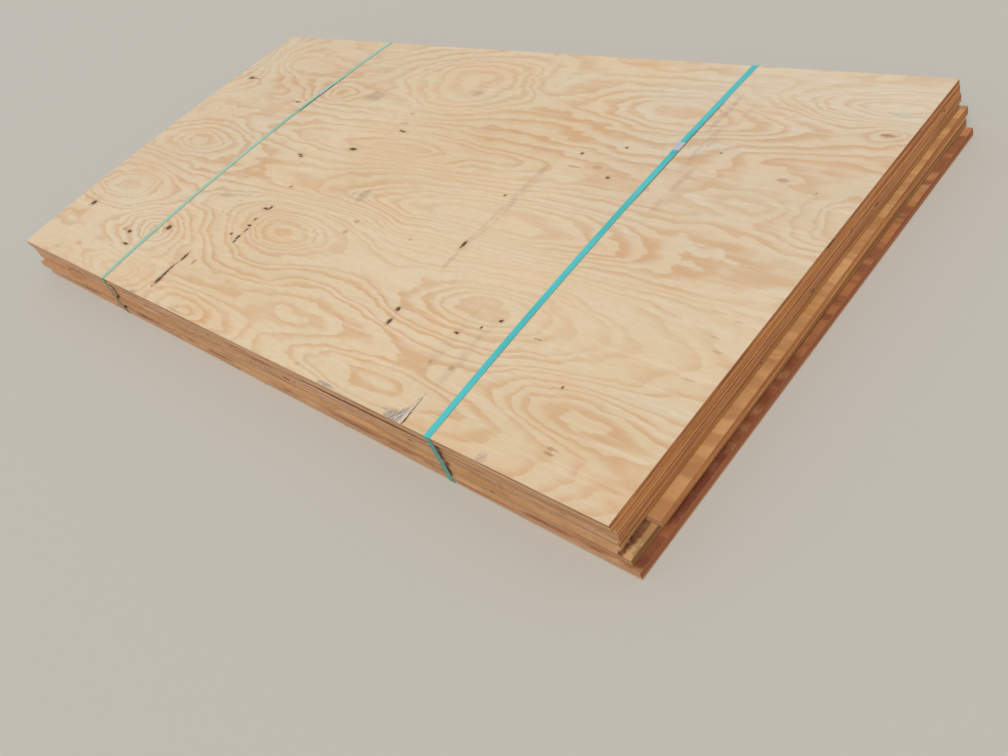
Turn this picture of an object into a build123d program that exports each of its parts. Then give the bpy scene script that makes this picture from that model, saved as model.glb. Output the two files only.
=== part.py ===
from build123d import *

import math
import os

# A strapped bundle of plywood sheets, lying flat.
#
# Seven 4 x 8 ft sheets lie on each other, each a little out of line with the next, and two
# plastic bands go right round them. The upper sheets are slightly arched across their width.
# Units are millimetres. X runs along the sheets, Y across them from the front and Z up. The
# part stands on the undersides of its bands, with its origin at the middle of its base.

# Sheet stock
sheet_length = 2438.4
sheet_width = 1219.2
sheet_thickness = 18.3
seat_gap = 0.3

# Arch of the top sheet: how far its middle stands above its long edges at three places
arch_left = 13.0
arch_middle = 22.0
arch_right = 3.0

# Where each sheet lies, from the bottom up. right and front are how far its front right
# corner stands out past the top sheet's, and turn is in degrees about that corner
sheets = {
    "sheet_7_bottom": dict(right=27.0, front=2.5, turn=0.05),
    "sheet_6": dict(right=11.5, front=-2.5, turn=0.05),
    "sheet_5_notched": dict(right=23.0, front=-18.0, turn=0.71),
    "sheet_4": dict(right=-4.0, front=-4.5, turn=0.0),
    "sheet_3": dict(right=1.0, front=-6.5, turn=0.05),
    "sheet_2": dict(right=-0.5, front=-8.0, turn=0.1),
    "sheet_1_top": dict(right=0.0, front=0.0, turn=0.0),
}

# The piece that is missing from the fifth sheet's front right corner
notched_sheet = "sheet_5_notched"
notch_length = 70.0
notch_width = 61.0

# Bands: how far in from the top sheet's own left or right end each crosses its long edges
strap_width = 16.0
strap_thickness = 0.9
strap_slack = 0.5
left_strap_front_inset = 593.0
left_strap_back_inset = 587.0
right_strap_front_inset = 427.4
right_strap_back_inset = 469.4

# Crimped seals, one on each band, with two pairs of notches in their edges
left_seal_from_front = 905.0
right_seal_from_front = 880.0
seal_length = 30.0
seal_wall = 0.7
seal_clearance = 0.2
crimp_width = 5.0
crimp_depth = 1.6
crimp_spacing = 14.0

# Laps: where each band's upper end lies over its lower end, reaching out in front of its seal
left_lap_length = 152.0
left_lap_before_seal = 92.0
right_lap_length = 85.0
right_lap_before_seal = 8.0

# Stock beyond the outline, cut away when a sheet is trimmed to its place
trim_margin = 120.0

layers = len(sheets)
layer_pitch = sheet_thickness + seat_gap
lowest_underside = strap_thickness + strap_slack
top_layer = layers - 1


def underside_of(layer):
    """Height of a layer's underside at its long edges."""
    return lowest_underside + layer * layer_pitch


def arch_share(layer):
    """A layer's share of the top sheet's arch: none at the bottom, all of it at the top."""
    return layer / top_layer


def arch_at(x):
    """Rise of the top sheet's middle over its long edges, on a parabola through the three given."""
    t = 2 * x / sheet_length
    bend = (arch_left + arch_right) / 2 - arch_middle
    slope = arch_middle - arch_left - bend
    return arch_left + slope * t + bend * t * t


def rise_at(x, y, layer):
    """How far a layer stands above its own long edges at a place in plan."""
    across = 2 * y / sheet_width - 1
    return arch_share(layer) * arch_at(x) * (1 - across * across)


def slab_section(x, layer):
    """Closed outline of an arched slab in the plane at x, wider than a sheet."""
    across = (-trim_margin, sheet_width / 2, sheet_width + trim_margin)
    low = [Vector(x, y, underside_of(layer) + rise_at(x, y, layer)) for y in across]
    high = [point + Vector(0, 0, sheet_thickness) for point in low]
    return Wire([
        ThreePointArc(*low),
        Line(low[-1], high[-1]),
        ThreePointArc(*reversed(high)),
        Line(high[0], low[0]),
    ])


def slab(layer):
    """A slab of sheet thickness, larger than a sheet each way: flat at the bottom, else arched."""
    if arch_share(layer) == 0:
        corner = Pos(-trim_margin, -trim_margin, underside_of(layer))
        size = (sheet_length + 2 * trim_margin, sheet_width + 2 * trim_margin, sheet_thickness)
        return corner * Box(*size, align=Align.MIN)
    stations = (-trim_margin, sheet_length / 2, sheet_length + trim_margin)
    return Solid.make_loft([slab_section(x, layer) for x in stations])


def directions(place):
    """Unit vectors of a sheet in plan, from its front right corner: back, and to the left."""
    turn = math.radians(place["turn"])
    return Vector(-math.sin(turn), math.cos(turn)), Vector(-math.cos(turn), -math.sin(turn))


def corners(place):
    """Plan corners of a whole sheet: front right, back right, back left, front left."""
    back, left = directions(place)
    start = Vector(sheet_length + place["right"], -place["front"])
    far = start + back * sheet_width
    return [start, far, far + left * sheet_length, start + left * sheet_length]


def outline(name):
    """Plan outline of a sheet, less the corner that is missing from it."""
    place = sheets[name]
    front_right, *others = corners(place)
    if name != notched_sheet:
        return [front_right, *others]
    back, left = directions(place)
    front_break = front_right + left * notch_length
    end_break = front_right + back * notch_width
    return [end_break, *others, front_break, front_break + back * notch_width]


def sheet(name, layer):
    """One sheet: a slab trimmed to its outline."""
    depth = layers * layer_pitch + arch_middle
    return slab(layer) & extrude(Face(Wire.make_polygon(outline(name))), amount=depth, dir=(0, 0, 1))


def edge_y(place, x, side):
    """Y of a sheet's front or back edge where it crosses x."""
    front_right, back_right, back_left, front_left = corners(place)
    left, right = (front_left, front_right) if side == "front" else (back_left, back_right)
    return left.Y + (right.Y - left.Y) * (x - left.X) / (right.X - left.X)


def taut(points):
    """The points that a taut band touches on its way down a side that faces -X."""
    path = []
    for point in points:
        while len(path) > 1:
            chord = point - path[-2]
            step = path[-1] - path[-2]
            if chord.X * step.Y < chord.Y * step.X:
                break
            path.pop()
        path.append(point)
    return path


def side_path(x, side, skew):
    """A band's way down one side of the stack, in the band's own plane."""
    facing = 1 if side == "front" else -1
    points = []
    for layer in reversed(range(layers)):
        y = edge_y(list(sheets.values())[layer], x, side)
        low = underside_of(layer) + rise_at(x, y, layer)
        away = facing * y / math.cos(skew)
        points += [Vector(away, low + sheet_thickness), Vector(away, low)]
    return [Vector(facing * point.X, point.Y) for point in taut(points)]


def skew_of(front_x, back_x):
    """Angle in plan between a band and the line square across the sheets."""
    return math.atan2(front_x - back_x, sheet_width)


def strap(front_x, back_x, lap_from_front, lap_length):
    """A band round the stack, in the upright plane through its crossings of the top sheet's edges."""
    skew = skew_of(front_x, back_x)
    front = side_path(front_x, "front", skew)
    back = side_path(back_x, "back", skew)
    middle = sheet_width / 2
    crest = underside_of(top_layer) + sheet_thickness
    crest += rise_at((front_x + back_x) / 2, middle, top_layer)
    core = Face(Wire([
        ThreePointArc(back[0], Vector(middle / math.cos(skew), crest), front[0]),
        *Polyline(front).edges(),
        Line(front[-1], back[-1]),
        *Polyline(back[::-1]).edges(),
    ]))
    inner = offset(core, amount=strap_slack, kind=Kind.ARC)
    outer = offset(core, amount=strap_slack + strap_thickness, kind=Kind.ARC)
    lapped = offset(core, amount=strap_slack + 2 * strap_thickness, kind=Kind.ARC)
    lap_corner = Pos(lap_from_front / math.cos(skew), underside_of(top_layer))
    lap_span = lap_corner * Rectangle(lap_length, crest, align=Align.MIN)
    upright = Plane(
        origin=(front_x, 0, 0),
        x_dir=(-math.sin(skew), math.cos(skew), 0),
        z_dir=(math.cos(skew), math.sin(skew), 0),
    )
    band = extrude(upright * (outer - inner), amount=strap_width / 2, both=True)
    lap = extrude(upright * ((lapped - outer) & lap_span), amount=strap_width / 2, both=True)
    return band + lap


def lap_start(from_front, before_seal):
    """Distance from the front edge at which a band's lap begins."""
    return from_front - seal_length / 2 - before_seal


def seal(front_x, back_x, from_front):
    """A crimped clip over a band's lap: a plate with two notched legs that hug the band's edges."""
    skew = skew_of(front_x, back_x)
    x = front_x + (back_x - front_x) * from_front / sheet_width
    height = underside_of(top_layer) + sheet_thickness + rise_at(x, from_front, top_layer)
    slope = -4 * arch_at(x) * (2 * from_front / sheet_width - 1) / sheet_width
    room_width = strap_width + 2 * seal_clearance
    room_height = 2 * strap_thickness + seal_clearance
    seal_width = room_width + 2 * seal_wall
    across_band = Plane(
        origin=(x, from_front, height),
        x_dir=(math.cos(skew), math.sin(skew), 0),
        z_dir=(math.sin(skew), -math.cos(skew), -slope),
    )
    foot = (Align.CENTER, Align.MIN)
    blank = Rectangle(seal_width, room_height + seal_wall, align=foot)
    room = Rectangle(room_width, room_height, align=foot)
    clip = extrude(across_band * Pos(0, strap_slack) * (blank - room), amount=seal_length / 2, both=True)
    notch = Box(2 * seal_wall, 2 * crimp_depth, crimp_width)
    for side in (-1, 1):
        for along in (-1, 1):
            place = Pos(side * seal_width / 2, strap_slack, along * crimp_spacing / 2)
            clip -= across_band.location * place * notch
    return clip


left_band = (left_strap_front_inset, left_strap_back_inset)
right_band = (sheet_length - right_strap_front_inset, sheet_length - right_strap_back_inset)
left_lap_from_front = lap_start(left_seal_from_front, left_lap_before_seal)
right_lap_from_front = lap_start(right_seal_from_front, right_lap_before_seal)

parts = {name: sheet(name, layer) for layer, name in enumerate(sheets)}
parts["strap_left"] = strap(*left_band, left_lap_from_front, left_lap_length)
parts["strap_right"] = strap(*right_band, right_lap_from_front, right_lap_length)
parts["strap_seal"] = seal(*right_band, right_seal_from_front)
parts["strap_seal_left"] = seal(*left_band, left_seal_from_front)

box = Compound(list(parts.values())).bounding_box()
to_origin = Pos(-box.center().X, -box.center().Y, -box.min.Z)

os.makedirs("parts", exist_ok=True)
for name, shape in parts.items():
    export_step(to_origin * shape, f"parts/{name}.step")
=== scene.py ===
import math
import random
from types import SimpleNamespace

import bpy
from mathutils import Matrix, Vector


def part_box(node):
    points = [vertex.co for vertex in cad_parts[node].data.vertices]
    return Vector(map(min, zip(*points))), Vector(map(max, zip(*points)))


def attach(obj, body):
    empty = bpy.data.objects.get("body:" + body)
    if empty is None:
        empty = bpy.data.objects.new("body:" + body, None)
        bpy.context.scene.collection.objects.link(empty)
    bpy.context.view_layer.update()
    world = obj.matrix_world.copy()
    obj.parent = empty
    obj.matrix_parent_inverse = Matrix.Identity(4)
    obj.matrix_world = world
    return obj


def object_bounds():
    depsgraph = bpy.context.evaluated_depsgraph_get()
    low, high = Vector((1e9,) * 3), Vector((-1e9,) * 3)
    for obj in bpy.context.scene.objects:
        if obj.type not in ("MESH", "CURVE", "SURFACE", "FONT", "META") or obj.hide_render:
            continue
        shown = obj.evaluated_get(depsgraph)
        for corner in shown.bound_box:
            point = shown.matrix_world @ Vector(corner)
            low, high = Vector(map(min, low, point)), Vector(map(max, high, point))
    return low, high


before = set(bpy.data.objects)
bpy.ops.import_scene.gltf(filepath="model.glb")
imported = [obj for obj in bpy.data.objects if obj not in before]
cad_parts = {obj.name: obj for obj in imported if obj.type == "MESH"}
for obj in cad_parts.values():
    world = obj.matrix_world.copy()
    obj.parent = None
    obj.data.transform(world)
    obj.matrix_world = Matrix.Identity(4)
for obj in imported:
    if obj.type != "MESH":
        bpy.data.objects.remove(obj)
cad_low, cad_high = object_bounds()

# The stack as it was modelled, in metres. A place in plan is given from the top sheet's front
# left corner: x along its front edge to the right, and y away from that edge
sheet_length = 2.4384
sheet_width = 1.2192
sheet_thickness = 0.0183
layer_pitch = 0.0186
plies = 5

# How far the top sheet's middle stands above its long edges at its left end, halfway and at its
# right end, and the same as a parabola in twice the share of the length
arch_left = 0.013
arch_middle = 0.022
arch_right = 0.003
arch_bend = (arch_left + arch_right) / 2 - arch_middle
arch_slope = arch_middle - arch_left - arch_bend

# The sheets from the bottom up. Each one's front edge is given by how far its right end stands out
# in front of the top sheet's, in metres, and by its turn in degrees
front_edges = {
    "sheet_7_bottom": (0.0025, 0.05),
    "sheet_6": (-0.0025, 0.05),
    "sheet_5_notched": (-0.018, 0.71),
    "sheet_4": (-0.0045, 0.0),
    "sheet_3": (-0.0065, 0.05),
    "sheet_2": (-0.008, 0.1),
    "sheet_1_top": (0.0, 0.0),
}
sheet_names = list(front_edges)
top_layer = len(sheet_names) - 1
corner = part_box("sheet_1_top")[0]
corner.z += sheet_thickness


def linear(red, green, blue):
    """Colour for a shader from 8-bit screen values."""
    def channel(value):
        value /= 255
        return value / 12.92 if value <= 0.04045 else ((value + 0.055) / 1.055) ** 2.4
    return (channel(red), channel(green), channel(blue), 1.0)


class Graph:
    """Adds nodes to a tree; sockets and plain numbers can be given alike."""

    # Where a mix node keeps its two values and its result, for numbers and for colours
    mix_sockets = {"FLOAT": (2, 3, 0), "RGBA": (6, 7, 2)}

    def __init__(self, tree):
        self.tree = tree

    def node(self, kind, **settings):
        made = self.tree.nodes.new(kind)
        for name, value in settings.items():
            setattr(made, name, value)
        return made

    def feed(self, socket, value):
        if isinstance(value, bpy.types.NodeSocket):
            self.tree.links.new(value, socket)
        else:
            socket.default_value = value

    def math(self, operation, *values):
        made = self.node("ShaderNodeMath", operation=operation)
        for socket, value in zip(made.inputs, values):
            self.feed(socket, value)
        return made.outputs[0]

    def vector(self, operation, *values, output=0):
        made = self.node("ShaderNodeVectorMath", operation=operation)
        for socket, value in zip(made.inputs, values):
            self.feed(socket, value)
        return made.outputs[output]

    def combine(self, x, y, z):
        made = self.node("ShaderNodeCombineXYZ")
        for socket, value in zip(made.inputs, (x, y, z)):
            self.feed(socket, value)
        return made.outputs[0]

    def separate(self, vector):
        made = self.node("ShaderNodeSeparateXYZ")
        self.feed(made.inputs[0], vector)
        return made.outputs

    def ramp(self, value, low, high, start=0.0, end=1.0):
        """Smooth step from start to end as the value goes from low to high."""
        made = self.node("ShaderNodeMapRange", interpolation_type="SMOOTHSTEP")
        for socket, number in zip(made.inputs, (value, low, high, start, end)):
            self.feed(socket, number)
        return made.outputs[0]

    def off(self, value, middle):
        """How far a value is from a middle, either way."""
        return self.math("ABSOLUTE", self.math("SUBTRACT", value, middle))

    def mix(self, factor, first, second, blend="MIX", kind="RGBA"):
        made = self.node("ShaderNodeMix", data_type=kind, blend_type=blend)
        first_socket, second_socket, result = self.mix_sockets[kind]
        self.feed(made.inputs["Factor"], factor)
        self.feed(made.inputs[first_socket], first)
        self.feed(made.inputs[second_socket], second)
        return made.outputs[result]

    def noise(self, position, detail=2.0, roughness=0.5, scale=1.0):
        made = self.node("ShaderNodeTexNoise")
        self.feed(made.inputs["Vector"], position)
        for name, value in (("Scale", scale), ("Detail", detail), ("Roughness", roughness)):
            self.feed(made.inputs[name], value)
        return made.outputs["Fac"]

    def grain(self, position, scales, detail=2.0, roughness=0.5, scale=1.0):
        """Noise with its own scale along each axis, in features to the metre."""
        return self.noise(self.vector("MULTIPLY", position, scales), detail, roughness, scale)

    def stretched(self, x, y, x_scale, y_scale, third=0.0):
        """A point in noise from a place on a plane; the third number keeps like noises apart."""
        return self.combine(self.math("MULTIPLY", x, x_scale), self.math("MULTIPLY", y, y_scale), third)

    def shaken(self, value, noise, reach):
        """A value moved by a noise, by half the reach at most either way."""
        return self.math("ADD", value, self.math("MULTIPLY_ADD", noise, reach, -reach / 2))

    def bump(self, height, distance, strength):
        made = self.node("ShaderNodeBump")
        self.feed(made.inputs["Height"], height)
        made.inputs["Distance"].default_value = distance
        made.inputs["Strength"].default_value = strength
        return made.outputs[0]


def material(name):
    """A new node material, its graph, its surface shader and its coordinates in the frame."""
    made = bpy.data.materials.new(name)
    made.use_nodes = True
    graph = Graph(made.node_tree)
    shader = made.node_tree.nodes["Principled BSDF"]
    return made, graph, shader, graph.node("ShaderNodeTexCoord")


def dress(name, look):
    """Gives a node of the frame its material."""
    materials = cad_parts[name].data.materials
    materials.clear()
    materials.append(look)


# Growth rings on the top face are the level lines of a relief. Each rise or hollow in it has its
# place, half-width and half-depth, its height in rings and its slant
ring_hills = [
    (0.286, 0.598, 0.30, 0.090, 5.5, 0.0),
    (0.195, 0.335, 0.26, 0.085, -5.5, 0.0),
    (0.596, 0.198, 0.15, 0.075, 5.5, 0.0),
    (-0.014, 1.062, 0.16, 0.20, -5.0, 0.0),
    (0.322, 1.048, 0.30, 0.08, 1.5, -0.3),
    (0.576, 0.044, 0.16, 0.045, -4.0, 0.0),
    (0.676, 0.915, 0.16, 0.075, 4.0, 0.0),
    (1.181, 1.024, 0.32, 0.16, 8.0, 0.05),
    (1.179, 0.722, 0.42, 0.075, -5.0, 0.03),
    (1.335, 0.511, 0.50, 0.055, 3.5, 0.02),
    (1.112, 0.327, 0.29, 0.11, -7.5, 0.0),
    (1.469, 0.444, 0.08, 0.06, 1.5, 0.0),
    (1.043, 0.024, 0.24, 0.060, 5.0, 0.0),
    (1.450, 0.106, 0.30, 0.05, 1.5, 0.0),
    (1.939, 0.999, 0.36, 0.16, 7.5, 0.0),
    (2.361, 1.097, 0.24, 0.06, -6.0, 0.0),
    (2.392, 1.009, 0.06, 0.03, 3.5, 0.0),
    (1.878, 0.570, 0.62, 0.10, 6.5, 0.02),
    (1.912, 0.302, 0.36, 0.105, -7.5, 0.05),
    (2.236, 0.741, 0.18, 0.035, 2.5, 0.0),
    (2.422, 0.741, 0.09, 0.07, -4.0, 0.0),
    (2.252, 0.153, 0.20, 0.055, 4.5, 0.0),
    (2.440, -0.011, 0.14, 0.08, 4.0, 0.0),
    (1.454, 1.068, 0.08, 0.07, -2.0, 0.0),
    (2.157, 0.890, 0.40, 0.06, -2.0, -0.1),
    (1.754, 0.058, 0.25, 0.05, -3.0, 0.0),
]

# Dark knots, holes and cracks on the top face, and a few other dark marks: place, half-width and
# half-depth
knots = [
    (0.102, 0.941, 0.014, 0.008),
    (0.130, 0.939, 0.020, 0.002),
    (0.124, 0.222, 0.013, 0.011),
    (0.641, 0.227, 0.012, 0.010),
    (0.480, 0.170, 0.012, 0.006),
    (0.526, 0.127, 0.017, 0.004),
    (0.529, 0.840, 0.016, 0.003),
    (0.837, 0.611, 0.012, 0.003),
    (0.850, 0.604, 0.010, 0.003),
    (1.023, 0.673, 0.016, 0.006),
    (1.133, 0.777, 0.013, 0.003),
    (1.121, 0.781, 0.006, 0.003),
    (0.955, 0.387, 0.013, 0.004),
    (0.969, 0.394, 0.006, 0.007),
    (0.953, 0.484, 0.006, 0.003),
    (0.958, 0.343, 0.004, 0.006),
    (0.962, 0.318, 0.008, 0.004),
    (0.969, 0.301, 0.004, 0.008),
    (0.967, 0.271, 0.006, 0.010),
    (0.970, 0.256, 0.004, 0.006),
    (0.927, 0.275, 0.006, 0.004),
    (0.843, 0.158, 0.006, 0.016),
    (0.838, 0.132, 0.002, 0.008),
    (0.835, 0.112, 0.004, 0.014),
    (0.835, 0.090, 0.006, 0.018),
    (0.836, 0.066, 0.009, 0.016),
    (0.835, 0.042, 0.003, 0.004),
    (1.692, 0.448, 0.005, 0.013),
    (1.693, 0.197, 0.006, 0.009),
    (1.686, 0.233, 0.007, 0.007),
    (1.759, 0.807, 0.005, 0.004),
    (1.857, 0.852, 0.004, 0.003),
    (1.884, 0.742, 0.005, 0.004),
    (1.670, 0.621, 0.004, 0.003),
    (1.951, 0.289, 0.005, 0.004),
    (1.921, 0.259, 0.003, 0.004),
    (1.877, 0.228, 0.006, 0.003),
    (2.186, 0.198, 0.003, 0.003),
    (2.088, 0.882, 0.003, 0.002),
    (2.348, 0.808, 0.002, 0.002),
    # A dark dot at the start of the left band's lap
    (0.578, 0.800, 0.003, 0.003),
    # Thin dark lines along the right sides of the torn flakes at the front edge
    (1.9365, 0.012, 0.0012, 0.014),
    (1.9345, 0.036, 0.0010, 0.014),
    (1.9140, 0.012, 0.0014, 0.010),
]

# A squared distance that is larger than that from any knot, in its half-widths
beyond_all_knots = 100.0

# Faint brown and grey marks on the top face: place, half-width, half-depth and strength
brown_marks = [
    (1.320, 0.427, 0.012, 0.005, 0.55),
    (1.318, 0.388, 0.010, 0.008, 0.5),
    (0.900, 0.153, 0.006, 0.010, 0.7),
    (0.443, 0.172, 0.014, 0.007, 0.5),
    (1.090, 0.857, 0.010, 0.005, 0.4),
    (1.102, 0.812, 0.022, 0.006, 0.35),
    (1.775, 0.757, 0.020, 0.003, 0.5),
    (1.835, 0.769, 0.014, 0.008, 0.35),
    (2.265, 0.828, 0.014, 0.007, 0.5),
    (2.258, 0.079, 0.014, 0.003, 0.6),
    (2.258, 0.069, 0.012, 0.003, 0.6),
    (2.061, 0.277, 0.012, 0.002, 0.6),
    (2.385, 0.301, 0.016, 0.0015, 0.4),
    (2.344, 0.460, 0.018, 0.002, 0.3),
    (2.393, 0.451, 0.010, 0.003, 0.3),
    (2.373, 0.404, 0.012, 0.002, 0.3),
    (2.397, 0.375, 0.010, 0.003, 0.35),
    (2.392, 1.010, 0.018, 0.005, 0.8),
    (1.536, 0.420, 0.005, 0.005, 0.5),
    (0.795, 0.336, 0.007, 0.003, 0.4),
    (0.815, 0.388, 0.006, 0.003, 0.5),
    (1.877, 0.145, 0.005, 0.006, 0.4),
    (1.936, 0.149, 0.007, 0.006, 0.5),
    (1.561, 0.019, 0.010, 0.004, 0.3),
]
grey_marks = [
    (0.850, 0.918, 0.044, 0.026, 0.35),
    (0.836, 0.930, 0.020, 0.012, 0.45),
    (0.868, 0.906, 0.020, 0.010, 0.5),
    (0.732, 0.395, 0.026, 0.012, 0.35),
    (1.250, 0.514, 0.016, 0.027, 0.5),
    (1.211, 0.513, 0.007, 0.012, 0.35),
    (1.236, 0.988, 0.018, 0.015, 0.4),
    (1.698, 0.392, 0.007, 0.030, 0.3),
    (1.680, 0.004, 0.030, 0.007, 0.7),
    (2.147, 0.009, 0.012, 0.012, 0.4),
    (0.780, 0.004, 0.018, 0.006, 0.5),
    (1.000, 0.006, 0.040, 0.004, 0.25),
    (1.930, 0.042, 0.004, 0.036, 0.8),
    (1.922, 0.016, 0.013, 0.022, 0.9),
    (1.900, 0.008, 0.022, 0.014, 0.9),
    (1.872, 0.014, 0.010, 0.003, 0.6),
]

# Long faint scuffs on the top face, broken up along their length: place, half-width, half-depth
# and strength
scuffs = [
    (2.012, 1.020, 0.010, 0.075, 0.50),
    (2.036, 0.885, 0.012, 0.085, 0.50),
    (2.058, 0.740, 0.013, 0.110, 0.36),
    (2.063, 1.028, 0.006, 0.045, 0.45),
    (1.704, 0.600, 0.014, 0.190, 0.40),
    (1.938, 0.185, 0.016, 0.090, 0.30),
    (1.879, 0.195, 0.014, 0.110, 0.22),
]

# Painted shadow on the board along the right side of each band, where the band stands off the
# wood: place of its middle, half-depth, how far it shifts to the left for each metre back, and strength
band_shadow_lines = [
    (1.9898, 0.875, 0.225, 0.0345, 0.5),
    (0.5985, 0.880, 0.095, 0.005, 0.8),
    (0.5983, 0.985, 0.016, 0.005, 0.8),
]

# Wide areas of the top face that are paler and greyer than the rest: place, half-sizes, strength
pale_areas = [
    (0.25, 0.75, 0.55, 0.75, 0.40),
    (2.20, 1.00, 0.45, 0.50, 0.7),
    (0.60, 1.15, 0.60, 0.25, 0.25),
]

# A smear of band colour by the far right corner: place, half-width, half-depth and strength
teal_smear = (2.384, 1.079, 0.024, 0.0025, 0.6)

# Where marks fade: the painted shadow beside a band away from its line, an edge's worn arris and
# pale foot down its depth, and the glue lines of the long sides along the sheet, all in metres
band_shadow_fade = (0.0010, 0.0032)
arris_fade = (0.0004, 0.0022)
foot_fade = (sheet_thickness - 0.0030, sheet_thickness - 0.0012)
side_glue_fade = (1.2, 2.1)

# Growth rings: how far noise shakes their relief along and across the sheet, the power by which
# a rise falls off along it, and how many rings each noise adds
ring_shake_x = 0.13
ring_shake_y = 0.044
rise_end_power = 1.7
base_rings = 6.0
spacing_rings = 2.2
inner_sheet_rings = 16.0
ripple_rings = 1.1

# How far noise shakes the outlines of what is on the sheets, in metres, and its plies, in plies
mark_shake_x = 0.010
mark_shake_y = 0.007
patch_shake_x = 0.016
patch_shake_y = 0.024
scar_and_shade_shake_x = 0.06
scar_and_shade_shake_depth = 0.006
ply_shake = 0.9

# Where noises are taken from, so that no two sheets and no two shakes are alike
layer_step_in_noise = (3.1, 1.7, 0.37)
elsewhere_in_noise = (31.0, 17.0, 5.0)

# Noise over the sheets in plan: features to the metre along the sheet and across it
ring_grain = (1.5, 6.0, 0.0)
ripple_grain = (12.0, 27.0, 0.0)
contrast_grain = (1.9, 4.2, 0.0)
fibre_grain = (26.0, 700.0, 0.0)
check_grain = (45.0, 1400.0, 0.0)
tone_grain = (1.6, 2.6, 0.0)
streak_grain = (3.5, 75.0, 0.0)
blush_grain = (2.4, 6.5, 0.0)
mottle_grain = (34.0, 110.0, 0.0)
rough_grain = (45.0, 45.0, 0.0)
ragged_grain = (110.0, 110.0, 0.0)
block_grain = (5.0, 27.0, 0.0)
wander_grain = (7.0, 7.0, 0.0)

# Noise on the top sheet alone: the same, in pairs
along_grain = (3.0, 7.0)
aside_grain = (2.5, 9.0)
base_grain = (1.3, 4.2)
mark_grain = (130.0, 190.0)
scuff_grain = (60.0, 28.0)

# Noise on the sheets' edges: features to the metre along the edge and up it
edge_streak_grain = (9.0, 1300.0)
pore_grain = (420.0, 420.0)
fray_grain = (60.0, 800.0)

# Noise that runs along an edge: features to the metre, and to the ply where it has a second number
ply_tone_grain = 4.0
dirt_grain = 11.0
arris_grain = 55.0
slot_grain = (15.0, 5.7)
gap_grain = (26.0, 3.3)

# How far features stand out from the sheets' surfaces or lie below them, in depths of the relief
relief_depth = 0.0006
fibre_relief = 0.6
fray_relief = 0.9
knot_relief = -1.5
glue_relief = -0.5
gap_relief = -2.5

# Colours and tints of what is on the faces
check_colour = linear(150, 105, 70)
# Painted shadow on the board beside the bands
band_shadow_colour = linear(82, 76, 54)
grey_colour = linear(140, 130, 120)
scuff_colour = linear(168, 136, 120)
brown_colour = linear(160, 112, 80)
smear_colour = linear(120, 190, 175)
knot_rim_colour = linear(186, 142, 100)
knot_colour = linear(62, 46, 34)
warm_tint = (1.03, 0.955, 0.90, 1.0)
cool_tint = (0.97, 1.025, 1.07, 1.0)
pale_tint = (0.96, 1.02, 1.14, 1.0)

# Colours of what is in the edges
dark_ply_colour = linear(104, 56, 36)
pale_fibre_colour = linear(216, 172, 132)
dark_fibre_colour = linear(104, 60, 42)
slot_colour = linear(80, 42, 28)
gap_colour = linear(38, 20, 12)


def distance(graph, plane, x, y, half_x, half_y):
    """Squared distance from a place on a plane, in its own half-widths."""
    start = (-x / half_x, -y / half_y, 0.0)
    away = graph.vector("MULTIPLY_ADD", plane, (1 / half_x, 1 / half_y, 0.0), start)
    return graph.vector("DOT_PRODUCT", away, away, output=1)


def spot(graph, plane, x, y, half_x, half_y, strength):
    """A soft mark: its full strength in its middle, and none a little outside its half-widths."""
    return graph.ramp(distance(graph, plane, x, y, half_x, half_y), 0.2, 1.6, strength, 0.0)


def strongest_spot(graph, plane, marks):
    """The strongest of a list of soft marks at each place."""
    strongest = 0.0
    for mark in marks:
        strongest = graph.math("MAXIMUM", strongest, spot(graph, plane, *mark))
    return strongest


def ring_relief(graph, x, y):
    """Height of the top veneer's relief, in rings."""
    along = graph.noise(graph.stretched(x, y, *along_grain, 0.3), detail=4.0, roughness=0.6)
    aside = graph.noise(graph.stretched(x, y, *aside_grain, 5.3), detail=4.0, roughness=0.6)
    shaken_x = graph.shaken(x, along, ring_shake_x)
    shaken_y = graph.shaken(y, aside, ring_shake_y)
    base = graph.noise(graph.stretched(x, y, *base_grain, 2.0), detail=3.0)
    rings = graph.math("MULTIPLY", base, base_rings)
    for hill_x, hill_y, half_x, half_y, height, slant in ring_hills:
        u = graph.math("MULTIPLY_ADD", shaken_x, 1 / half_x, -hill_x / half_x)
        level = graph.math("MULTIPLY_ADD", shaken_x, -slant / half_y, (slant * hill_x - hill_y) / half_y)
        v = graph.math("MULTIPLY_ADD", shaken_y, 1 / half_y, level)
        ends = graph.math("POWER", graph.math("ABSOLUTE", u), rise_end_power)
        away = graph.math("MULTIPLY_ADD", v, v, ends)
        rings = graph.math("MULTIPLY_ADD", graph.math("POWER", math.exp(-1), away), height, rings)
    spacing = graph.noise(graph.combine(rings, 0.0, 7.7), detail=1.0, scale=0.55)
    return graph.math("MULTIPLY_ADD", spacing, spacing_rings, rings)


def band_shadow(graph, x, y, face):
    """A face with thin lines of painted shadow along the right side of each band."""
    for line_x, line_y, half_y, shift, strength in band_shadow_lines:
        from_line = graph.math("SUBTRACT", x, line_x + shift * line_y)
        off_line = graph.math("ABSOLUTE", graph.math("MULTIPLY_ADD", y, shift, from_line))
        near = graph.ramp(off_line, *band_shadow_fade, strength, 0.0)
        within = graph.ramp(graph.off(y, line_y), 0.7 * half_y, half_y, 1.0, 0.0)
        face = graph.mix(graph.math("MULTIPLY", near, within), face, band_shadow_colour)
    return face


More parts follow.
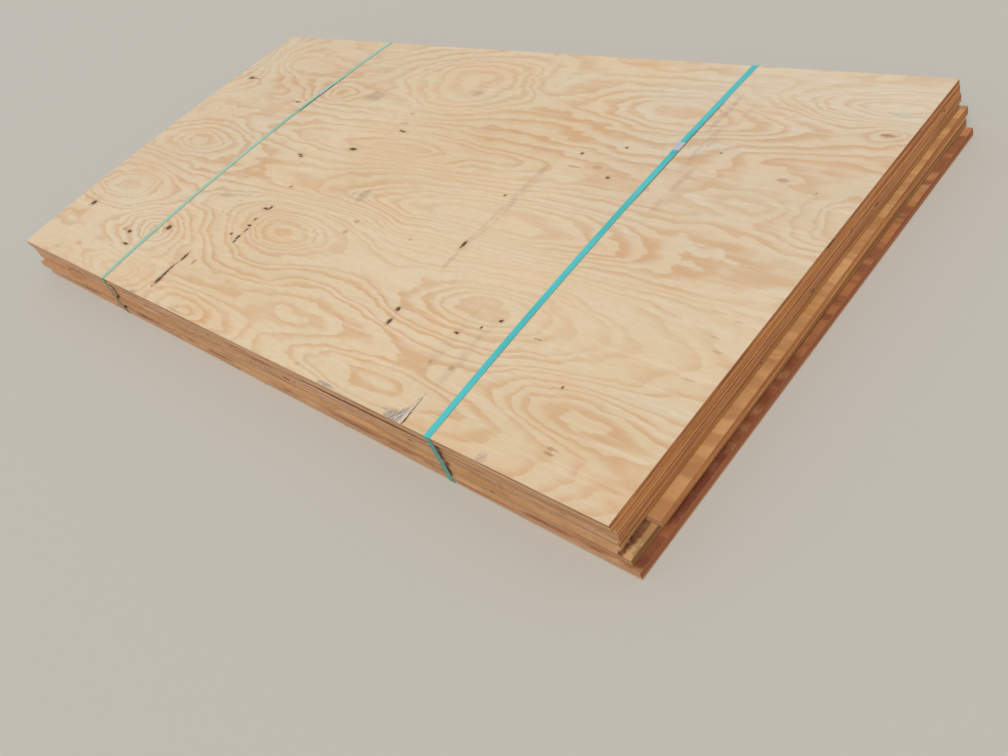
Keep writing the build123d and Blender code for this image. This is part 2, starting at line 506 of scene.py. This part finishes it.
def top_marks(graph, x, y, face):
    """The top face with painted shadow beside the bands, its scuffs, marks and knots, and a mask of the
    knots.
    """
    rough_place = graph.stretched(x, y, *mark_grain)
    rough_x = graph.noise(rough_place)
    rough_y = graph.noise(graph.vector("ADD", rough_place, elsewhere_in_noise))
    plane = graph.combine(
        graph.shaken(x, rough_x, mark_shake_x),
        graph.shaken(y, rough_y, mark_shake_y),
        0.0,
    )
    face = band_shadow(graph, x, y, face)

    grey = strongest_spot(graph, plane, grey_marks)
    grey = graph.math("MULTIPLY", grey, graph.ramp(rough_y, 0.3, 0.6, 0.35, 1.0))
    face = graph.mix(grey, face, grey_colour)
    broken = graph.noise(graph.stretched(x, y, *scuff_grain, 9.1), detail=3.0)
    scuffed = strongest_spot(graph, plane, scuffs)
    scuffed = graph.math("MULTIPLY", scuffed, graph.ramp(broken, 0.36, 0.66, 0.1, 0.9))
    face = graph.mix(scuffed, face, scuff_colour)
    face = graph.mix(strongest_spot(graph, plane, brown_marks), face, brown_colour)
    face = graph.mix(spot(graph, plane, *teal_smear), face, smear_colour)

    nearest = beyond_all_knots
    for knot in knots:
        nearest = graph.math("MINIMUM", nearest, distance(graph, plane, *knot))
    face = graph.mix(graph.ramp(nearest, 1.0, 5.0, 0.45, 0.0), face, knot_rim_colour)
    knot_mask = graph.ramp(nearest, 0.3, 1.4, 0.92, 0.0)
    return graph.mix(knot_mask, face, knot_colour), knot_mask


def depth_in_sheet(graph, x, y, z, layer):
    """Depth below a sheet's own arched upper face."""
    along = graph.math("MULTIPLY", x, 2 / sheet_length)
    arch = graph.math("MULTIPLY_ADD", along, arch_bend, arch_slope)
    arch = graph.math("MULTIPLY_ADD", arch, along, arch_left)
    across = graph.math("MULTIPLY_ADD", y, 2 / sheet_width, -1.0)
    crown = graph.math("SUBTRACT", 1.0, graph.math("MULTIPLY", across, across))
    level = (layer - top_layer) * layer_pitch
    upper = graph.math("MULTIPLY_ADD", graph.math("MULTIPLY", arch, crown), layer / top_layer, level)
    return graph.math("SUBTRACT", upper, z)


def places_on(graph, coordinates, layer):
    """Where each point of a sheet lies, and on which of the sheet's sides."""
    position = graph.vector("SUBTRACT", coordinates.outputs["Object"], tuple(corner))
    x, y, z = graph.separate(position)
    own_place = graph.vector("ADD", position, tuple(layer * step for step in layer_step_in_noise))
    normal_x, normal_y, normal_z = graph.separate(coordinates.outputs["Normal"])
    return SimpleNamespace(
        x=x,
        y=y,
        z=z,
        run=graph.math("ADD", x, y),
        depth=depth_in_sheet(graph, x, y, z, layer),
        flat=graph.vector("MULTIPLY", own_place, (1.0, 1.0, 0.0)),
        on_face=graph.ramp(graph.math("ABSOLUTE", normal_z), 0.6, 0.8),
        on_end=graph.ramp(graph.math("ABSOLUTE", normal_x), 0.45, 0.55),
        on_front=graph.ramp(normal_y, -0.6, -0.4, 1.0, 0.0),
    )


def growth_rings(graph, at, layer, look):
    """Late wood over early wood: each ring darkens through its first part and ends sharply."""
    if layer == top_layer:
        rings = ring_relief(graph, at.x, at.y)
    else:
        relief = graph.grain(at.flat, ring_grain, detail=3.0)
        rings = graph.math("MULTIPLY", relief, inner_sheet_rings)
    ripple = graph.grain(at.flat, ripple_grain, roughness=0.55)
    phase = graph.math("FRACT", graph.math("MULTIPLY_ADD", ripple, ripple_rings, rings))
    late = graph.ramp(phase, 0.30, 0.80)
    late = graph.math("MULTIPLY", late, graph.ramp(phase, 0.88, 1.0, 1.0, 0.0))
    strength = graph.ramp(graph.grain(at.flat, contrast_grain), 0.3, 0.7, 0.3, 0.88)
    return graph.mix(graph.math("MULTIPLY", late, strength), look["early"], look["late"])


def face_tones(graph, at, fibre, face, look):
    """A face with its fibres, fine checks, pale streaks and slow changes of tone."""
    face = graph.mix(graph.ramp(fibre, 0.35, 0.7, 0.0, 0.14), face, look["fibre"], "MULTIPLY")
    checks = graph.grain(at.flat, check_grain, detail=1.0)
    face = graph.mix(graph.ramp(checks, 0.66, 0.74, 0.0, 0.22), face, check_colour)
    tone = graph.grain(at.flat, tone_grain, detail=3.0)
    face = graph.mix(graph.ramp(tone, 0.35, 0.7, 0.0, 0.5), face, look["stain"], "MULTIPLY")
    streak = graph.grain(at.flat, streak_grain, detail=3.0, roughness=0.6)
    face = graph.mix(graph.ramp(streak, 0.45, 0.75, 0.0, 0.4), face, look["pale"])
    blush = graph.grain(at.flat, blush_grain, detail=3.0, scale=1.3)
    face = graph.mix(graph.ramp(blush, 0.48, 0.68, 0.0, 0.7), face, warm_tint, "MULTIPLY")
    face = graph.mix(graph.ramp(blush, 0.28, 0.46, 0.7, 0.0), face, cool_tint, "MULTIPLY")
    mottle = graph.grain(at.flat, mottle_grain, detail=3.0, roughness=0.6)
    return graph.mix(graph.ramp(mottle, 0.35, 0.7, 0.0, 0.22), face, look["late"])


def face_patches(graph, at, face, look):
    """A face with its ragged patches, some of them stains and some painted shade, and with blocks of
    darker tone across its open ledges.
    """
    if look["patches"]:
        rough = graph.grain(at.flat, rough_grain, detail=4.0)
        ragged = graph.grain(at.flat, ragged_grain, detail=3.0)
        patchiness = graph.ramp(rough, 0.3, 0.6, 0.6, 1.0)
        shaken_x = graph.shaken(at.x, ragged, patch_shake_x)
        plane = graph.combine(shaken_x, graph.shaken(at.y, rough, patch_shake_y), 0.0)
    for x, y, half_x, half_y, amount, colour in look["patches"]:
        mark = graph.ramp(distance(graph, plane, x, y, half_x, half_y), 0.4, 1.5, amount, 0.0)
        face = graph.mix(graph.math("MULTIPLY", mark, patchiness), face, colour)
    if look["blocks"]:
        blocks = graph.grain(at.flat, block_grain)
        face = graph.mix(graph.ramp(blocks, 0.41, 0.59, 0.0, look["blocks"]), face, look["block_colour"])
    return face


def veneer(graph, at, fibre, layer, look):
    """Colour and relief of a sheet's two faces."""
    face = growth_rings(graph, at, layer, look)
    face = face_tones(graph, at, fibre, face, look)
    relief = graph.math("MULTIPLY", fibre, fibre_relief)
    if layer == top_layer:
        pale = strongest_spot(graph, graph.combine(at.x, at.y, 0.0), pale_areas)
        face = graph.mix(pale, face, pale_tint, "MULTIPLY")
        face, knot_mask = top_marks(graph, at.x, at.y, face)
        relief = graph.math("MULTIPLY_ADD", knot_mask, knot_relief, relief)
    return face_patches(graph, at, face, look), relief


def run_noise(graph, run, run_grain, apart, third=0.0, detail=3.0):
    """Noise that changes along an edge; the number apart keeps like noises apart."""
    return graph.noise(graph.combine(graph.math("MULTIPLY", run, run_grain), apart, third), detail)


def ply_noise(graph, run, ply, grain, apart, detail=2.0):
    """Noise that changes along an edge and from ply to ply."""
    run_grain, ply_grain = grain
    return run_noise(graph, run, run_grain, apart, graph.math("MULTIPLY", ply, ply_grain), detail)


def sawn_plies(graph, at, odd, streak, layer, look):
    """Plies on an edge: long fibres where they lie along it, and dark pores where they cross it."""
    pores_place = graph.stretched(at.run, at.z, *pore_grain, layer * 1.3)
    pores = graph.noise(pores_place, detail=3.0, roughness=0.7)
    light = graph.mix(at.on_end, look["side_light"], look["end_light"])
    middle = graph.mix(at.on_end, look["side_mid"], look["end_mid"])
    dark = graph.mix(at.on_end, look["side_dark"], look["end_dark"])
    long_colour = graph.mix(graph.ramp(streak, 0.36, 0.64), light, middle)
    end_colour = graph.mix(graph.ramp(pores, 0.35, 0.65), middle, dark)
    end_grain = graph.math("ABSOLUTE", graph.math("SUBTRACT", at.on_end, odd))
    contrast = graph.math("MULTIPLY", end_grain, graph.math("MULTIPLY_ADD", at.on_end, 0.3, 0.4))
    return graph.mix(contrast, long_colour, end_colour)


def edge_tones(graph, at, ply, plain_side, arris_noise, edge, layer, look):
    """An edge with the tone of each ply along its run, worn arrises and a darker second ply."""
    tone = run_noise(graph, at.run, ply_tone_grain, layer * 3.7, ply, detail=4.0)
    edge = graph.mix(graph.ramp(tone, 0.42, 0.66, 0.0, 0.75), edge, look["edge_tone"], "MULTIPLY")
    arris = graph.ramp(at.depth, *arris_fade, look["arris"], 0.0)
    arris = graph.math("MULTIPLY", arris, graph.ramp(arris_noise, 0.3, 0.6, 0.3, 1.0))
    edge = graph.mix(arris, edge, look["early"])
    foot = graph.ramp(at.depth, *foot_fade, 0.0, look["foot"])
    edge = graph.mix(foot, edge, look["early"])
    second_ply = graph.ramp(graph.off(ply, 1.0), 0.2, 0.4, 1.0, 0.0)
    dirt = run_noise(graph, at.run, dirt_grain, layer * 2.7)
    dark_ply = graph.math("MULTIPLY", second_ply, graph.ramp(dirt, 0.35, 0.6, 0.25, look["dark_ply"]))
    return graph.mix(graph.math("MULTIPLY", dark_ply, plain_side), edge, dark_ply_colour)


def side_wear(graph, at, ply, within_ply, fray, edge, layer, look):
    """An edge with frayed fibres and thin slots on the sheet's long sides."""
    on_side = graph.math("SUBTRACT", 1.0, at.on_end)
    pale_fray = graph.math("MULTIPLY", on_side, graph.ramp(fray, 0.56, 0.70, 0.0, look["fray"]))
    edge = graph.mix(pale_fray, edge, pale_fibre_colour)
    dark_fray = graph.math("MULTIPLY", on_side, graph.ramp(fray, 0.30, 0.43, look["fray"], 0.0))
    edge = graph.mix(dark_fray, edge, dark_fibre_colour)
    slots = ply_noise(graph, at.run, ply, slot_grain, layer * 3.3)
    in_middle = graph.ramp(graph.off(within_ply, 0.5), 0.12, 0.32, 0.6, 0.0)
    slot = graph.math("MULTIPLY", graph.ramp(slots, 0.62, 0.66), in_middle)
    ragged = graph.math("MULTIPLY", on_side, graph.ramp(fray, 0.4, 0.55, 1.0, 0.2))
    return graph.mix(graph.math("MULTIPLY", slot, ragged), edge, slot_colour)


def front_scars_and_shade(graph, at, streak, arris_noise, edge, look):
    """An edge with the scars and the painted shadow that show on the sheet's front."""
    shaken_x = graph.shaken(at.x, streak, scar_and_shade_shake_x)
    plane = graph.combine(shaken_x, graph.shaken(at.depth, arris_noise, scar_and_shade_shake_depth), 0.0)
    for x, depth, half_x, half_depth, amount, colour in look["scars_and_shade"]:
        scar_and_shade = graph.ramp(distance(graph, plane, x, depth, half_x, half_depth), 0.3, 1.3, amount, 0.0)
        edge = graph.mix(graph.math("MULTIPLY", at.on_front, scar_and_shade), edge, colour)
    return edge


def cut_edge(graph, at, layer, look):
    """Colour and relief of a sheet's four edges."""
    wander = graph.grain(at.flat, wander_grain, detail=4.0)
    plies_deep = graph.math("DIVIDE", at.depth, sheet_thickness / plies)
    plies_deep = graph.shaken(plies_deep, wander, ply_shake)
    ply = graph.math("FLOOR", plies_deep)
    within_ply = graph.math("FRACT", plies_deep)
    odd = graph.math("MODULO", graph.math("ABSOLUTE", ply), 2.0)
    streak_place = graph.stretched(at.run, at.z, *edge_streak_grain, layer * 2.3)
    streak = graph.noise(streak_place, detail=3.0, roughness=0.65)
    fray_place = graph.stretched(at.run, at.z, *fray_grain, layer * 4.1)
    fray = graph.noise(fray_place, detail=3.0, roughness=0.65)
    arris_noise = run_noise(graph, at.run, arris_grain, layer * 1.9)
    edge = sawn_plies(graph, at, odd, streak, layer, look)

    # Glue lines, fainter on the left part of the long sides
    glue_above = graph.ramp(within_ply, 0.0, 0.12, 1.0, 0.0)
    glue_below = graph.ramp(within_ply, 0.88, 1.0, 0.0, 1.0)
    glue = graph.math("MAXIMUM", glue_above, glue_below)
    plain_side = graph.math("MAXIMUM", at.on_end, graph.ramp(at.x, *side_glue_fade, 0.35, 1.0))
    glue_strength = graph.math("MULTIPLY", plain_side, graph.math("MULTIPLY_ADD", at.on_end, 0.17, 0.28))
    edge = graph.mix(graph.math("MULTIPLY", glue, glue_strength), edge, look["end_dark"])

    edge = edge_tones(graph, at, ply, plain_side, arris_noise, edge, layer, look)
    edge = side_wear(graph, at, ply, within_ply, fray, edge, layer, look)
    edge = front_scars_and_shade(graph, at, streak, arris_noise, edge, look)

    # Gaps between the pieces of the core plies
    gaps = ply_noise(graph, at.run, ply, gap_grain, layer * 5.1, detail=1.0)
    gap = graph.math("MULTIPLY", graph.ramp(gaps, 0.73, 0.76), graph.math("MULTIPLY", odd, 0.9))
    edge = graph.mix(gap, edge, gap_colour)

    relief = graph.math("MULTIPLY_ADD", gap, gap_relief, graph.math("MULTIPLY", fray, fray_relief))
    return edge, graph.math("ADD", graph.math("MULTIPLY", glue, glue_relief), relief)


def sheet_material(name, layer, look):
    """Plywood: veneer on the two faces, and plies on the four edges."""
    made, graph, shader, coordinates = material(name)
    at = places_on(graph, coordinates, layer)
    fibre = graph.grain(at.flat, fibre_grain, detail=3.0, roughness=0.7)
    face, face_relief = veneer(graph, at, fibre, layer, look)
    edge, edge_relief = cut_edge(graph, at, layer, look)
    graph.feed(shader.inputs["Base Color"], graph.mix(at.on_face, edge, face))
    graph.feed(shader.inputs["Roughness"], graph.math("MULTIPLY_ADD", fibre, 0.15, 0.62))
    relief = graph.mix(at.on_face, edge_relief, face_relief, kind="FLOAT")
    graph.feed(shader.inputs["Normal"], graph.bump(relief, relief_depth, strength=0.5))
    return made


# Looks of the sheets. The faces have early and late wood, tints for fibres and stains, and pale
# streaks. The edges have a light, a middle and a dark tone on the long sides and on the ends, and a
# tint of their own. arris, foot, dark_ply, fray and blocks are strengths from 0 to 1. A patch on a
# face has its place, half-sizes, strength and colour, and so has a scar on the front edge, whose
# place is given along the sheet and down from its face. Some patches and scars are painted shadow
# in recesses and under overhangs
top_look = dict(
    early=linear(221, 201, 169),
    late=linear(208, 168, 126),
    fibre=linear(214, 186, 150),
    stain=linear(246, 232, 214),
    pale=linear(226, 212, 190),
    side_light=linear(212, 172, 132),
    side_mid=linear(182, 138, 98),
    side_dark=linear(126, 84, 51),
    end_light=linear(220, 152, 86),
    end_mid=linear(194, 126, 66),
    end_dark=linear(128, 74, 38),
    edge_tone=linear(196, 160, 130),
    arris=0.35,
    foot=0.0,
    dark_ply=0.75,
    fray=0.35,
    blocks=0.0,
    patches=[],
    scars_and_shade=[],
)
inner_look = dict(
    top_look,
    early=linear(196, 154, 112),
    late=linear(174, 128, 86),
    pale=linear(202, 162, 120),
    arris=0.3,
    dark_ply=0.25,
    fray=0.6,
    blocks=0.35,
    block_colour=linear(150, 104, 66),
)
shades = {
    "sheet_2": dict(edge_tone=linear(176, 140, 112)),
    "sheet_3": dict(
        # The first patch and the first scar are painted shadow: a dark strip in the deep recess where
        # the sheet above sits back
        patches=[(1.76, 0.006, 0.28, 0.012, 1.0, linear(88, 42, 26))],
        scars_and_shade=[
            (1.760, 0.0000, 0.260, 0.0050, 0.95, linear(88, 42, 26)),
            (1.390, 0.0080, 0.045, 0.0026, 0.75, linear(92, 58, 48)),
            (1.640, 0.0090, 0.090, 0.0028, 0.6, linear(222, 180, 150)),
            (0.300, 0.0130, 0.120, 0.0026, 0.55, linear(120, 70, 46)),
        ],
        early=linear(176, 130, 88),
        late=linear(158, 112, 72),
        pale=linear(180, 134, 92),
        end_light=linear(212, 148, 92),
        end_mid=linear(180, 118, 68),
    ),
    "sheet_4": dict(
        end_light=linear(206, 152, 92),
        end_mid=linear(176, 126, 70),
        edge_tone=linear(194, 172, 130),
        scars_and_shade=[
            (1.475, 0.0080, 0.014, 0.0036, 1.0, linear(40, 18, 12)),
            (0.250, 0.0070, 0.013, 0.0034, 0.9, linear(60, 28, 18)),
            (0.356, 0.0120, 0.010, 0.0028, 0.8, linear(72, 36, 24)),
            (0.800, 0.0090, 0.060, 0.0040, 0.6, linear(226, 180, 140)),
        ],
    ),
    "sheet_5_notched": dict(
        early=linear(200, 152, 100),
        late=linear(182, 130, 78),
        blocks=0.55,
        block_colour=linear(158, 108, 62),
        patches=[
            (0.0, -0.012, 1.40, 0.030, 0.8, linear(178, 134, 100)),
            (2.452, 0.30, 0.020, 0.050, 0.3, linear(214, 168, 118)),
            (2.448, 0.52, 0.020, 0.040, 0.35, linear(214, 168, 118)),
            (2.446, 0.70, 0.020, 0.060, 0.4, linear(218, 174, 126)),
        ],
    ),
    "sheet_6": dict(
        early=linear(204, 160, 112),
        late=linear(182, 136, 88),
        end_light=linear(186, 142, 86),
        end_mid=linear(150, 108, 62),
        end_dark=linear(112, 70, 38),
        patches=[
            # The first two patches are painted shade on the notch floor under the overhang of the sheets
            # above
            (2.430, 0.055, 0.009, 0.042, 1.0, linear(92, 36, 24)),
            (2.428, 0.012, 0.006, 0.016, 0.9, linear(104, 52, 30)),
            (2.450, 0.020, 0.007, 0.014, 0.75, linear(118, 104, 58)),
            (2.446, 0.052, 0.007, 0.018, 0.5, linear(150, 120, 62)),
            (2.441, 0.032, 0.005, 0.008, 0.4, linear(130, 104, 60)),
        ],
    ),
    "sheet_7_bottom": dict(
        end_light=linear(180, 108, 58),
        end_mid=linear(156, 88, 46),
        end_dark=linear(126, 66, 34),
        foot=1.0,
        blocks=0.6,
        block_colour=linear(108, 50, 28),
        patches=[
            (2.455, 0.34, 0.040, 0.40, 1.0, linear(134, 74, 40)),
            (2.455, 0.98, 0.040, 0.40, 0.9, linear(170, 106, 60)),
            (2.458, 0.60, 0.020, 0.10, 0.5, linear(168, 104, 60)),
            (2.452, 0.20, 0.020, 0.09, 0.7, linear(104, 46, 26)),
            (2.462, 0.07, 0.014, 0.04, 0.7, linear(152, 90, 52)),
            (2.458, 0.020, 0.012, 0.012, 0.8, linear(112, 56, 36)),
            (2.462, -0.004, 0.016, 0.012, 0.7, linear(182, 128, 84)),
        ],
    ),
}
for layer, name in enumerate(sheet_names):
    look = top_look if layer == top_layer else dict(inner_look, **shades[name])
    dress(name, sheet_material(name + "_wood", layer, look))


# Bands: their waffle in radians to the metre and its depth, and their wear's grain and tint
waffle_pitch = 2200.0
waffle_depth = 0.0001
wear_grain = (60.0, 6.0, 6.0)
wear_tint = linear(196, 226, 222)

# Seals: grain of their rolling streaks, and their darkest and lightest steel
rolling_grain = (900.0, 60.0, 60.0)
dark_steel = linear(196, 198, 206)
light_steel = linear(228, 228, 236)


def strap_material(name, upper, side):
    """Teal polyester band with a fine embossed waffle, and painted shade that makes it darker and duller
    down its sides.
    """
    made, graph, shader, coordinates = material(name)
    position = coordinates.outputs["Object"]
    x, y, z = graph.separate(position)
    run = graph.math("ADD", y, z)
    waves = []
    for diagonal in ("ADD", "SUBTRACT"):
        phase = graph.math("MULTIPLY", graph.math(diagonal, run, x), waffle_pitch)
        waves.append(graph.math("SINE", phase))
    wear = graph.grain(position, wear_grain, detail=4.0)
    # Painted shade: the band's sides take a darker copy of its top colour
    painted_light_on_top = graph.ramp(graph.separate(coordinates.outputs["Normal"])[2], 0.3, 0.8)
    colour = graph.mix(painted_light_on_top, side, upper)
    colour = graph.mix(graph.ramp(wear, 0.35, 0.7, 0.0, 0.6), colour, wear_tint, "MULTIPLY")
    graph.feed(shader.inputs["Base Color"], colour)
    graph.feed(shader.inputs["Roughness"], graph.math("MULTIPLY_ADD", wear, 0.2, 0.32))
    waffle = graph.math("MULTIPLY", *waves)
    graph.feed(shader.inputs["Normal"], graph.bump(waffle, waffle_depth, strength=0.4))
    return made


def seal_material(name):
    """Galvanised steel with faint rolling streaks."""
    made, graph, shader, coordinates = material(name)
    streak = graph.grain(coordinates.outputs["Object"], rolling_grain, detail=3.0)
    colour = graph.mix(graph.ramp(streak, 0.3, 0.7), dark_steel, light_steel)
    graph.feed(shader.inputs["Base Color"], colour)
    shader.inputs["Metallic"].default_value = 0.55
    graph.feed(shader.inputs["Roughness"], graph.math("MULTIPLY_ADD", streak, 0.2, 0.35))
    return made


seal_look = seal_material("seal_steel")
# Each band has a colour for its top and a darker copy for its sides, which is painted shade
looks = {
    "strap_left": strap_material("left_strap_polyester", linear(156, 202, 182), linear(116, 124, 92)),
    "strap_right": strap_material("right_strap_polyester", linear(76, 192, 196), linear(84, 140, 128)),
    "strap_seal": seal_look,
    "strap_seal_left": seal_look,
}
for name, look in looks.items():
    dress(name, look)


def face_height(x, y):
    """Height of the top sheet's upper face over its own long edges."""
    along = 2 * x / sheet_length
    across = 2 * y / sheet_width - 1
    return (arch_left + arch_slope * along + arch_bend * along * along) * (1 - across * across)


def sliver(vertices, faces, spine, thickness):
    """Adds a closed strip that tapers along its spine of (place, side direction, half-width)."""
    first = len(vertices)
    for place, side, half_width in spine:
        for offset, drop in ((-1, 0), (1, 0), (1, 1), (-1, 1)):
            vertices.append(place + side * offset * half_width - Vector((0, 0, drop * thickness)))
    rings = len(spine)
    for ring in range(rings - 1):
        low = first + 4 * ring
        for turn in range(4):
            after = (turn + 1) % 4
            faces.append((low + turn, low + after, low + 4 + after, low + 4 + turn))
    last = first + 4 * (rings - 1)
    faces.append((first + 3, first + 2, first + 1, first))
    faces.append((last, last + 1, last + 2, last + 3))


def wood_piece(name, vertices, faces, look):
    """Makes a mesh piece that rides with the bundle."""
    mesh = bpy.data.meshes.new(name)
    mesh.from_pydata(vertices, [], faces)
    mesh.materials.append(look)
    piece = bpy.data.objects.new(name, mesh)
    bpy.context.scene.collection.objects.link(piece)
    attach(piece, "root")


# Torn veneer: grain of its fibres and of its blotches, and depth of the fibres
torn_grain = (1100.0, 90.0, 300.0)
blotch_grain = (90.0, 90.0, 90.0)
torn_depth = 0.0004


def splinter_material(name, light, dark):
    """Torn veneer: pale fibres with darker streaks along them."""
    made, graph, shader, coordinates = material(name)
    position = coordinates.outputs["Object"]
    fibres = graph.grain(position, torn_grain, detail=3.0, roughness=0.7)
    blotch = graph.grain(position, blotch_grain)
    colour = graph.mix(graph.ramp(fibres, 0.40, 0.62), light, dark)
    colour = graph.mix(graph.ramp(blotch, 0.4, 0.7, 0.0, 0.5), colour, dark)
    graph.feed(shader.inputs["Base Color"], colour)
    shader.inputs["Roughness"].default_value = 0.8
    graph.feed(shader.inputs["Normal"], graph.bump(fibres, torn_depth, strength=0.6))
    return made


# Torn flakes at the front edge: slivers of the top veneer that have come partly loose, each given
# as its run of (place, half-width, lift over the face)
flakes = {
    "flake_pale": [
        [
            (1.9310, -0.0015, 0.0046, 0.0022),
            (1.9312, 0.010, 0.0050, 0.0030),
            (1.9306, 0.026, 0.0042, 0.0026),
            (1.9300, 0.044, 0.0028, 0.0016),
            (1.9292, 0.062, 0.0015, 0.0009),
            (1.9290, 0.078, 0.0003, 0.0004),
        ],
        [
            (1.9130, -0.0010, 0.0014, 0.0012),
            (1.9155, 0.009, 0.0018, 0.0020),
            (1.9185, 0.021, 0.0014, 0.0012),
            (1.9205, 0.032, 0.0003, 0.0005),
        ],
    ],
    "flake_grey": [
        [
            (1.9220, -0.0010, 0.0034, 0.0012),
            (1.9230, 0.012, 0.0036, 0.0018),
            (1.9245, 0.028, 0.0026, 0.0012),
            (1.9260, 0.044, 0.0014, 0.0008),
            (1.9275, 0.058, 0.0003, 0.0004),
        ],
        [
            (1.9060, -0.0010, 0.0036, 0.0010),
            (1.9080, 0.008, 0.0038, 0.0016),
            (1.9110, 0.018, 0.0026, 0.0012),
            (1.9140, 0.029, 0.0004, 0.0006),
        ],
        [
            (1.8945, 0.0000, 0.0030, 0.0008),
            (1.8975, 0.006, 0.0034, 0.0014),
            (1.9010, 0.013, 0.0020, 0.0010),
            (1.9040, 0.020, 0.0003, 0.0005),
        ],
        [
            (1.8860, 0.0010, 0.0018, 0.0007),
            (1.8885, 0.005, 0.0020, 0.0010),
            (1.8915, 0.011, 0.0003, 0.0005),
        ],
    ],
}
flake_looks = {
    "flake_pale": splinter_material("veneer_pale", linear(236, 220, 196), linear(170, 154, 134)),
    "flake_grey": splinter_material("veneer_grey", linear(204, 194, 186), linear(126, 114, 106)),
}
veneer_thickness = 0.0007
for name, runs in flakes.items():
    vertices, faces = [], []
    for run in runs:
        spine = []
        for x, y, half_width, lift in run:
            inside = max(y, 0.0)
            height = face_height(x, inside) + lift
            spine.append((corner + Vector((x, y, height)), Vector((1, 0, 0)), half_width))
        sliver(vertices, faces, spine, veneer_thickness)
    wood_piece(name, vertices, faces, flake_looks[name])


def front_y(name, x):
    """Y of a sheet's front edge at x, in the frame."""
    out, turn = front_edges[name]
    return corner.y - out - (corner.x + sheet_length - x) * math.tan(math.radians(turn))


# Splinters of veneer that stand out from the sheets' long edges. Each starts flush with its edge,
# bends out along its length and tapers, and lies at one of five depths below its sheet's face
splinters_per_edge = 10
splinter_lengths = (0.010, 0.045)
splinter_reaches = (0.0008, 0.0022)
splinter_depths = (0.0010, 0.0046, 0.0083, 0.0137, 0.0168)
splinter_half_width = 0.0010
splinter_thickness = 0.0005
splinter_bend = 1.5
splinter_taper = 0.8
left_margin = 0.05
right_margin = 0.13

chance = random.Random(7)
splinter_look = splinter_material("veneer_splinters", linear(214, 172, 124), linear(150, 100, 60))
vertices, faces = [], []
for layer, name in enumerate(sheet_names):
    low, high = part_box(name)
    for side in [-1, 1] * splinters_per_edge:
        start = chance.uniform(low.x + left_margin, high.x - right_margin)
        length = chance.uniform(*splinter_lengths)
        proud = chance.uniform(*splinter_reaches)
        depth = chance.choice(splinter_depths)
        height = corner.z + (layer - top_layer) * layer_pitch - depth
        spine = []
        for share in (0.0, 0.25, 0.5, 0.75, 1.0):
            x = start + length * share
            edge = front_y(name, x) + (sheet_width if side > 0 else 0.0)
            place = Vector((x, edge + side * proud * share ** splinter_bend, height))
            half_width = splinter_half_width * (1 - splinter_taper * share)
            spine.append((place, Vector((0, 1, 0)), half_width))
        sliver(vertices, faces, spine, splinter_thickness)
wood_piece("edge_splinters", vertices, faces, splinter_look)


# Floor
floor_size = 120
bpy.ops.mesh.primitive_plane_add(size=floor_size, location=(0, 0, cad_low.z))
floor = bpy.context.object
floor.name = "floor"
floor_look, _, floor_shader, _ = material("floor_matt")
floor_shader.inputs["Base Color"].default_value = linear(188, 183, 174)
floor_shader.inputs["Roughness"].default_value = 0.9
floor.data.materials.append(floor_look)

# Light: an even sky, and a soft sun that shines down on the stack from its front right
world = bpy.data.worlds.new("studio")
bpy.context.scene.world = world
world.use_nodes = True
sky = world.node_tree.nodes["Background"].inputs
sky["Color"].default_value = (0.94, 0.97, 1.0, 1.0)
sky["Strength"].default_value = 0.5

key = bpy.data.lights.new("key", "SUN")
key.angle = math.radians(34)
key.energy = 2.37
key.color = (1.0, 0.98, 0.94)
key_direction = Vector((-3.3, 4.6, -6.5))
key_holder = bpy.data.objects.new("key", key)
key_holder.rotation_euler = key_direction.to_track_quat("-Z", "Y").to_euler()
bpy.context.scene.collection.objects.link(key_holder)

# Camera: fitted to the top sheet's four corners in the photograph
image_width = 1008
focal_pixels = 932.9
sensor_width = 36
camera_place = Vector((3.20039, -0.48846, 1.13111))
camera_right = Vector((0.70112, 0.62509, -0.34306))
camera_down = Vector((0.27521, -0.68107, -0.67853))
camera_forward = Vector((-0.65779, 0.38132, -0.64954))
lens = bpy.data.cameras.new("camera")
lens.sensor_width = sensor_width
lens.lens = sensor_width * focal_pixels / image_width
camera = bpy.data.objects.new("camera", lens)
bpy.context.scene.collection.objects.link(camera)
axes = Matrix((camera_right, -camera_down, -camera_forward)).transposed()
camera.matrix_world = Matrix.Translation(corner + camera_place) @ axes.to_4x4()
bpy.context.scene.camera = camera
bpy.context.scene.view_settings.view_transform = "Standard"
